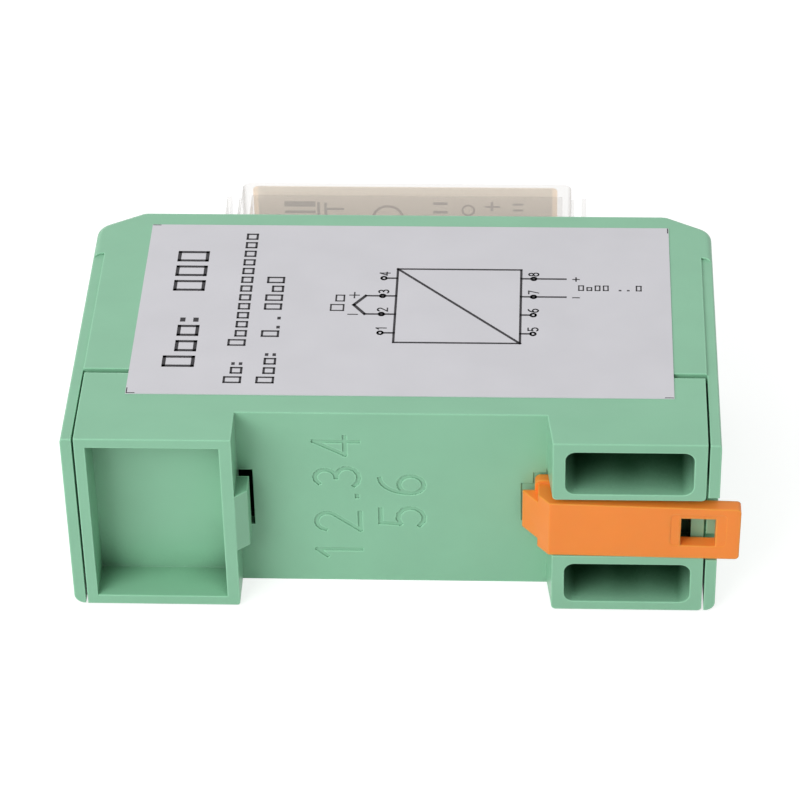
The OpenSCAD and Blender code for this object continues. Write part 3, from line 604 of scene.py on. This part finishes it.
def draw_signs(sheet):
    """Plus and minus at both sides of the drawing."""
    for half, (plus_x, plus_y), (minus_x, minus_y) in SIGNS:
        sheet.stroke((plus_x - half, plus_y), (plus_x + half, plus_y), SIGN_PEN)
        sheet.stroke((plus_x, plus_y - half), (plus_x, plus_y + half), SIGN_PEN)
        sheet.stroke((minus_x - half, minus_y), (minus_x + half, minus_y), SIGN_PEN)


def draw_rows(sheet):
    for pattern, start, size, pitch, pen in BOX_ROWS:
        sheet.blocks(pattern, start, size, pitch, pen, True)
    pattern, start, size, pitch, pen = SIDE_ROW
    sheet.blocks(pattern, start, size, pitch, pen)


def draw_crop_marks(sheet, low, high):
    """Short cutting marks at the label's corners."""
    x0, x1, y0, y1 = low.x + CROP_PEN, high.x - CROP_PEN, low.y + CROP_PEN, high.y - CROP_PEN
    for corner, end in (
        ((x0, y1), (x0 + CROP_REACH, y1)),
        ((x0, y0), (x0 + CROP_REACH, y0)),
        ((x0, y0), (x0, y0 + CROP_REACH)),
        ((x1, y1), (x1, y1 - CROP_REACH)),
        ((x1, y0), (x1 - CROP_REACH, y0)),
    ):
        sheet.stroke(corner, end, CROP_PEN)


def make_label_print():
    low, high = box_mm("side_label")
    sheet = Relief((0, 0, high.z), (1, 0, 0), (0, 1, 0), PRINT_HEIGHT)
    draw_converter(sheet)
    draw_signs(sheet)
    draw_rows(sheet)
    draw_crop_marks(sheet, low, high)
    sheet.finish("label_print", ink("label_ink", INK))


# Marks on the card: the back shows through the clear cover, the front faces the user

# Strength of the painted glow of the card, its print and its fields, in place of light that comes through
# them
CARD_PAINTED_GLOW = 0.34
CARD_INK_PAINTED_GLOW = 0.24
CARD_FIELD_PAINTED_GLOW = 0.1
CARD_BARS = [
    ((-15.5, 7.9), (-11.6, 8.7)),
    ((-15.5, 6.9), (-11.6, 7.3)),
    ((-11.4, 6.0), (-11.05, 8.6)),
    ((-10.5, 6.0), (-10.15, 8.5)),
    ((-10.15, 7.4), (-8.0, 7.75)),
    ((3.2, 8.3), (5.0, 8.7)),
    ((3.2, 7.0), (5.0, 7.4)),
    ((9.7, 7.9), (11.6, 8.2)),
    ((10.4, 7.4), (10.75, 8.8)),
    ((13.2, 7.4), (14.5, 7.7)),
    ((13.2, 8.3), (14.5, 8.6)),
]
# Centre, radius, pen and number of strokes
CARD_RINGS = [((-2.5, 6.2), 1.85, 0.35, 20), ((7.6, 7.5), 0.75, 0.25, 12)]
FIELD_ROWS = 2
FIELD_COLUMNS = 4
FIELD_GAP = 0.9
FIELD_PEN = 0.14
FIELD_LINES = (0.36, 0.68)
FIELD_LINE_PEN = 0.1
FIELD_LINE_INSET = 0.8


def draw_card_back(sheet):
    for start, end in CARD_BARS:
        sheet.bar(start, end)
    for centre, radius, pen, steps in CARD_RINGS:
        sheet.ring(centre, radius, pen, steps=steps)


def draw_card_front(sheet, length, height):
    """Empty writing fields with two lines each."""
    wide = (length - FIELD_GAP * (FIELD_COLUMNS + 1)) / FIELD_COLUMNS
    tall = (height - FIELD_GAP * (FIELD_ROWS + 1)) / FIELD_ROWS
    for row in range(FIELD_ROWS):
        for column in range(FIELD_COLUMNS):
            u = -length / 2 + FIELD_GAP + column * (wide + FIELD_GAP)
            v = -height / 2 + FIELD_GAP + row * (tall + FIELD_GAP)
            frame_line = [(u, v), (u + wide, v), (u + wide, v + tall), (u, v + tall), (u, v)]
            sheet.polyline(frame_line, FIELD_PEN)
            for share in FIELD_LINES:
                level = v + tall * share
                left, right = u + FIELD_LINE_INSET, u + wide - FIELD_LINE_INSET
                sheet.stroke((left, level), (right, level), FIELD_LINE_PEN)


def make_card_print():
    low, high = box_mm("marking_card")
    faint = card_stock("card_ink", CARD_INK, CARD_INK_PAINTED_GLOW)
    back = Relief((0, low.y, 0), (1, 0, 0), (0, 0, 1), PRINT_HEIGHT)
    draw_card_back(back)
    back.finish("card_back_print", faint)
    middle = ((low.x + high.x) / 2, high.y, (low.z + high.z) / 2)
    front = Relief(middle, (-1, 0, 0), (0, 0, 1), PRINT_HEIGHT)
    draw_card_front(front, high.x - low.x, high.z - low.z)
    fields = card_stock("card_field", CARD_FIELD, CARD_FIELD_PAINTED_GLOW)
    front.finish("card_front_print", fields)


# Forms cut into the housing's two mouldings

FIGURE_DEPTH = 0.16
FIGURE_OVERRUN = 0.3
FIGURE_HEIGHT = 5.1
FIGURE_PEN = 0.5
# Figures on the rail seat, their start and the distance between them
FIGURE_ROWS = [("12.34", (-9.35, 3.95), 4.5), ("56", (-4.0, -3.55), 4.78)]
EDGE_RADIUS = 0.7
SHOULDER_RADIUS = 2.5
CHAMFER_RUN = 4.6
CHAMFER_DROP = 2.7
CHAMFER_OVERRUN = 3.0
CHAMFER_SLOPE = math.atan2(CHAMFER_DROP, CHAMFER_RUN)
FRONT_RADIUS = 2.0
SEAM_Y = 7.6
REBATE_WIDTH = 0.45
REBATE_DEPTH = 0.3
REBATE_OVERLAP = 0.05
REBATE_OVERRUN = 0.3
PANEL_RADIUS = 0.9
FOOT_RADIUS = 0.55
FOOT_DRAFT = 0.1
FIXED_WALL_X = -18.0
HOOK_TIP_X = -16.35
HOOK_TRIM = 0.22
HOOK_REACH_Z = 4.4
HOOK_REACH_Y = -0.4
# How far a cutter goes past what it cuts, and past the housing where it runs right through
PAST = 0.5
FAR_PAST = 1.0


def cut(piece, name, cutter):
    """Cuts the closed shapes of a cutter out of a CAD node, which keeps its own mesh."""
    if "weld" not in piece.modifiers:
        piece.modifiers.new("weld", "WELD").merge_threshold = 0.001 * MM
    tool = piece.modifiers.new(name, "BOOLEAN")
    tool.operation = "DIFFERENCE"
    tool.solver = "EXACT"
    tool.use_self = True
    tool.object = cutter


def sink_figures():
    face = Relief((0, 0, 0), (0, 0, 1), (-1, 0, 0), FIGURE_OVERRUN, FIGURE_DEPTH)
    for figures, start, pitch in FIGURE_ROWS:
        face.digits(figures, start, FIGURE_HEIGHT, FIGURE_PEN, pitch)
    cut(nodes["base_housing"], "figures", face.cutter("figure_cutter"))


def outside_corner(radius, over=0.6, steps=6):
    """What a round edge leaves out of a square one, as distances inward from its two faces."""
    curve = arc((radius, radius), radius, -math.pi / 2, -math.pi, steps)
    return [(radius, -over)] + curve + [(-over, radius), (-over, -over)]


def end_path(low, high):
    """The hood's outline at its +X end: end wall, round shoulder and chamfer."""
    turn = math.pi / 2 - CHAMFER_SLOPE
    run = SHOULDER_RADIUS * math.tan(turn / 2)
    centre = (high.x - SHOULDER_RADIUS, high.y - CHAMFER_DROP - run)
    last = (
        high.x - CHAMFER_RUN - CHAMFER_OVERRUN * math.cos(CHAMFER_SLOPE),
        high.y + CHAMFER_OVERRUN * math.sin(CHAMFER_SLOPE),
    )
    return [(high.x, low.y - FAR_PAST)] + arc(centre, SHOULDER_RADIUS, 0, turn, 8) + [last]


def sweep(sheet, path, profile, end, face_z):
    """Carries an edge profile along an outline, at one end (+1 or -1) and on one broad side."""
    normals = [Vector((y0 - y1, x1 - x0)).normalized() for (x0, y0), (x1, y1) in zip(path, path[1:])]
    side = 1 if face_z > 0 else -1
    rings = []
    for i, (x, y) in enumerate(path):
        before, after = normals[max(i - 1, 0)], normals[min(i, len(normals) - 1)]
        inward = (before + after) / (1 + before.dot(after))
        ring = []
        for step, depth in profile:
            spot = ((x + inward.x * step) * end, y + inward.y * step, face_z - side * depth)
            ring.append(sheet.mesh.verts.new(Vector(spot) * MM))
        rings.append(ring)
    for near, far in zip(rings, rings[1:]):
        for i in range(len(profile)):
            j = (i + 1) % len(profile)
            sheet.mesh.faces.new((near[i], near[j], far[j], far[i]))
    sheet.mesh.faces.new(rings[0])
    sheet.mesh.faces.new(rings[-1])


def through_the_width(high):
    """A sheet for prisms that pass through the whole width of the housing."""
    reach = high.z + FAR_PAST
    return Relief((0, 0, 0), (1, 0, 0), (0, 1, 0), reach, reach)


def round_outline():
    """Rounds the long edges of the hood's ends, shoulders and chamfers."""
    low, high = box_mm("hood")
    rounds = through_the_width(high)
    path = end_path(low, high)
    for end in (1, -1):
        for face_z in (low.z, high.z):
            sweep(rounds, path, outside_corner(EDGE_RADIUS), end, face_z)
    cut(nodes["hood"], "rounds", rounds.cutter("hood_cutter"))


def round_front():
    """Rounds the corners where the hood's chamfers meet its front."""
    _, high = box_mm("hood")
    reach = FRONT_RADIUS * math.tan(CHAMFER_SLOPE / 2)
    corner = high.x - CHAMFER_RUN
    corners = through_the_width(high)
    centre = (corner - reach, high.y - FRONT_RADIUS)
    curve = arc(centre, FRONT_RADIUS, math.pi / 2, math.pi / 2 - CHAMFER_SLOPE, 6)
    off_chamfer = (
        corner + reach * math.cos(CHAMFER_SLOPE) + math.sin(CHAMFER_SLOPE),
        curve[-1][1] + math.cos(CHAMFER_SLOPE),
    )
    outline = [(corner - reach, high.y + FAR_PAST)] + curve + [off_chamfer]
    for end in (1, -1):
        corners.prism([(u * end, v) for u, v in outline])
    cut(nodes["hood"], "corners", corners.cutter("corner_cutter"))


def rebate_outline(half_length):
    """The strip that the rebate takes off the base's broad side, with the panel's round corners."""
    top, bottom = SEAM_Y + REBATE_OVERLAP, SEAM_Y - REBATE_WIDTH
    low = bottom - PANEL_RADIUS
    right = arc((half_length - PANEL_RADIUS, low), PANEL_RADIUS, 0, math.pi / 2, 8)
    left = [(-u, v) for u, v in reversed(right)]
    wide = half_length + REBATE_OVERRUN
    return right + left + [(-wide, low), (-wide, top), (wide, top), (wide, low)]


def widen_seam():
    """Cuts a shallow rebate beside the seam, on both broad sides of the base."""
    low, high = box_mm("base_housing")
    outline = rebate_outline(high.x)
    for name, level, height, sink in (
        ("label_side", high.z, PAST, REBATE_DEPTH),
        ("table_side", low.z, REBATE_DEPTH, PAST),
    ):
        strip = Relief((0, 0, level), (1, 0, 0), (0, 1, 0), height, sink)
        strip.prism(outline)
        cut(nodes["base_housing"], name, strip.cutter(name + "_cutter"))


def round_foot():
    """Rounds the fixed foot's lower corners, from its lower face up to just below the rail seat."""
    low, _ = box_mm("base_housing")
    below_seat = -0.02
    corners = Relief((0, 0, 0), (1, 0, 0), (0, 0, 1), -low.y + PAST, below_seat)
    for corner_x, inward in ((low.x, 1), (FIXED_WALL_X, -1)):
        profile = outside_corner(FOOT_RADIUS)
        corners.prism([(corner_x + inward * step, low.z + FOOT_DRAFT + depth) for step, depth in profile])
    cut(nodes["base_housing"], "foot_corners", corners.cutter("foot_cutter"))


def trim_hook():
    """Takes a little off the tip of the fixed hook."""
    low, _ = box_mm("base_housing")
    tip = Relief((0, 0, 0), (1, 0, 0), (0, 1, 0), HOOK_REACH_Z, HOOK_REACH_Z)
    tip.bar((HOOK_TIP_X - HOOK_TRIM, low.y - PAST), (HOOK_TIP_X + PAST, HOOK_REACH_Y))
    cut(nodes["base_housing"], "hook_tip", tip.cutter("hook_cutter"))


# Spring behind the latch

SPRING_TURNS = 8.0
SPRING_WIRE = 0.22
SPRING_POINTS = 24
END_TURNS = 0.045


def make_spring(material):
    low, high = box_mm("latch_spring")
    axis_y = (low.y + high.y) / 2
    axis_z = (low.z + high.z) / 2
    coil = (high.z - low.z) / 2 - SPRING_WIRE
    start, end = low.x + SPRING_WIRE, high.x - SPRING_WIRE
    steps = int(SPRING_TURNS * SPRING_POINTS)
    curve = bpy.data.curves.new("latch_coil", "CURVE")
    curve.dimensions = "3D"
    curve.bevel_depth = SPRING_WIRE * MM
    curve.bevel_resolution = 3
    curve.use_fill_caps = True
    spline = curve.splines.new("POLY")
    spline.points.add(steps)
    for i in range(steps + 1):
        part = i / steps
        angle = 2 * math.pi * SPRING_TURNS * part
        eased = part - END_TURNS * math.sin(2 * math.pi * part)
        spot = (
            (start + (end - start) * eased) * MM,
            (axis_y + coil * math.cos(angle)) * MM,
            (axis_z + coil * math.sin(angle)) * MM,
        )
        spline.points[i].co = (*spot, 1.0)
    shaped = bpy.data.objects.new("coil_shape", curve)
    bpy.context.scene.collection.objects.link(shaped)
    bpy.context.view_layer.update()
    mesh = bpy.data.meshes.new_from_object(shaped.evaluated_get(bpy.context.evaluated_depsgraph_get()))
    bpy.data.objects.remove(shaped)
    for polygon in mesh.polygons:
        polygon.use_smooth = True
    spring = new_piece("return_spring", mesh, material)
    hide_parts("latch_spring")
    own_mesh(spring)


# Floor, world and lamps


def grey(level):
    """A neutral scene colour."""
    return (level, level, level, 1.0)


WHITE = grey(1.0)
FLOOR_SHADE = 0.45
FLOOR_GLOW = 0.74
FLOOR_BOUNCE = 0.7
# Half the floor's side, in metres, and its distance below the housing, in millimetres
FLOOR_REACH = 6.0
FLOOR_GAP = 0.02
WORLD_LOW = 0.25
WORLD_HIGH = 0.8


def seen_directly(tree):
    """A factor that is 1 for camera, glossy and transmission rays."""
    path = tree.nodes.new("ShaderNodeLightPath")
    total = path.outputs["Is Camera Ray"]
    for name in ("Is Glossy Ray", "Is Transmission Ray"):
        highest = tree.nodes.new("ShaderNodeMath")
        highest.operation = "MAXIMUM"
        tree.links.new(total, highest.inputs[0])
        tree.links.new(path.outputs[name], highest.inputs[1])
        total = highest.outputs[0]
    return total


def make_floor():
    low, _ = box_mm("base_housing")
    mesh = bpy.data.meshes.new("floor")
    corners = [(-1, -1), (1, -1), (1, 1), (-1, 1)]
    level = (low.z - FLOOR_GAP) * MM
    mesh.from_pydata([(x * FLOOR_REACH, y * FLOOR_REACH, level) for x, y in corners], [], [(0, 1, 2, 3)])
    floor = bpy.data.objects.new("floor", mesh)
    bpy.context.scene.collection.objects.link(floor)
    material = bpy.data.materials.new("floor")
    material.use_nodes = True
    tree = material.node_tree
    tree.nodes.clear()
    plain = tree.nodes.new("ShaderNodeBsdfDiffuse")
    plain.inputs["Color"].default_value = grey(FLOOR_BOUNCE)
    shown = tree.nodes.new("ShaderNodeBsdfDiffuse")
    shown.inputs["Color"].default_value = grey(FLOOR_SHADE)
    glow = tree.nodes.new("ShaderNodeEmission")
    glow.inputs["Color"].default_value = WHITE
    glow.inputs["Strength"].default_value = FLOOR_GLOW
    both = tree.nodes.new("ShaderNodeAddShader")
    tree.links.new(shown.outputs[0], both.inputs[0])
    tree.links.new(glow.outputs[0], both.inputs[1])
    mix = tree.nodes.new("ShaderNodeMixShader")
    tree.links.new(seen_directly(tree), mix.inputs[0])
    tree.links.new(plain.outputs[0], mix.inputs[1])
    tree.links.new(both.outputs[0], mix.inputs[2])
    out = tree.nodes.new("ShaderNodeOutputMaterial")
    tree.links.new(mix.outputs[0], out.inputs["Surface"])
    mesh.materials.append(material)


def make_world():
    """Even white to look at; as light it grows from the horizon to the top, as under a cloth tent."""
    world = bpy.data.worlds.new("world")
    world.use_nodes = True
    tree = world.node_tree
    tree.nodes.clear()
    light = tree.nodes.new("ShaderNodeBackground")
    light.inputs["Color"].default_value = WHITE
    direction = tree.nodes.new("ShaderNodeTexCoord")
    height = tree.nodes.new("ShaderNodeSeparateXYZ")
    tree.links.new(direction.outputs["Generated"], height.inputs[0])
    rise = tree.nodes.new("ShaderNodeMapRange")
    rise.inputs["To Min"].default_value = WORLD_LOW
    rise.inputs["To Max"].default_value = WORLD_HIGH
    tree.links.new(height.outputs["Z"], rise.inputs["Value"])
    tree.links.new(rise.outputs["Result"], light.inputs["Strength"])
    seen = tree.nodes.new("ShaderNodeBackground")
    seen.inputs["Color"].default_value = WHITE
    seen.inputs["Strength"].default_value = 1.0
    mix = tree.nodes.new("ShaderNodeMixShader")
    tree.links.new(seen_directly(tree), mix.inputs[0])
    tree.links.new(light.outputs[0], mix.inputs[1])
    tree.links.new(seen.outputs[0], mix.inputs[2])
    out = tree.nodes.new("ShaderNodeOutputWorld")
    tree.links.new(mix.outputs[0], out.inputs["Surface"])
    bpy.context.scene.world = world


def make_lamp(name, place, target, size, power):
    """A square soft lamp; place and target are in millimetres."""
    data = bpy.data.lights.new(name, "AREA")
    data.shape = "SQUARE"
    data.size = size * MM
    data.energy = power
    lamp = bpy.data.objects.new(name, data)
    bpy.context.scene.collection.objects.link(lamp)
    direction = Vector(target) - Vector(place)
    turn = direction.to_track_quat("-Z", "Y").to_matrix().to_4x4()
    lamp.matrix_world = Matrix.Translation(Vector(place) * MM) @ turn


# Name, place, target, side and power
LAMPS = [
    ("key_lamp", (-430, -520, 430), (0, 20, 0), 560, 3.95),
    ("back_lamp", (-120, 560, 10), (0, 44, 0), 420, 0.6),
]


def make_lamps():
    for name, place, target, size, power in LAMPS:
        make_lamp(name, place, target, size, power)


# Materials of the CAD nodes

# Place along the body, half width and colour
RESISTOR_RINGS = [
    (-1.8, 0.3, linear(120, 60, 30)),
    (-0.8, 0.3, linear(30, 30, 32)),
    (0.2, 0.3, linear(190, 60, 40)),
]


def finish_cad_nodes():
    paint(moulded("housing_plastic", LEAF, 0.36, pocket_shade=PAINTED_POCKET_SHADE), "base_housing", "hood")
    orange = moulded("latch_plastic", ORANGE, 0.38, grain=0.12, relief=0.008, edge=0.3, glow=0.25)
    paint(orange, "foot_latch")
    paint(clear_plastic(), "clear_cover")
    paint(card_stock("card_stock", CARD, CARD_PAINTED_GLOW), "marking_card")
    paint(label_film(), "side_label")
    paint(board_laminate(), "upper_board", "lower_board")
    paint(moulded("terminal_plastic", TERMINAL, 0.5), "input_terminal_block", "output_terminal_block")
    steel = metal("plated_steel", STEEL)
    paint(
        steel,
        "input_clamp_cages",
        "output_clamp_cages",
        "input_terminal_screws",
        "output_terminal_screws",
        "latch_spring",
    )
    brass = metal("plated_brass", TIN, 0.28)
    paint(brass, "input_contact_bars", "output_contact_bars", "board_link_pins")
    paint(
        moulded("black_plastic", BLACK, 0.45, mottle=0.12),
        "board_link_strips",
        "cold_junction_sensor",
        "input_amplifier",
        "output_transistor",
        "transformer_bobbin",
        "rectifier_diodes",
    )
    off_white = moulded("white_plastic", OFF_WHITE, 0.4)
    paint(off_white, "optocoupler", "zero_adjuster", "span_adjuster")
    paint(polished("blue_plastic", BLUE), "zero_trimmer", "span_trimmer")
    paint(polished("capacitor_film", RED, 0.3), "filter_capacitors")
    paint(polished("capacitor_can", SLEEVE, 0.25), "smoothing_capacitors")
    paint(banded("resistor_coat", TAN, RESISTOR_RINGS), "upper_resistors")
    paint(wound_wire(), "transformer_winding")
    paint(moulded("ferrite", FERRITE, 0.6, grain=0.2, relief=0.02), "transformer_core")
    return steel


bpy.context.scene.view_settings.view_transform = "Standard"
make_camera()
steel = finish_cad_nodes()
make_label_print()
make_card_print()
sink_figures()
round_outline()
round_front()
widen_seam()
round_foot()
trim_hook()
make_spring(steel)
make_floor()
make_world()
make_lamps()
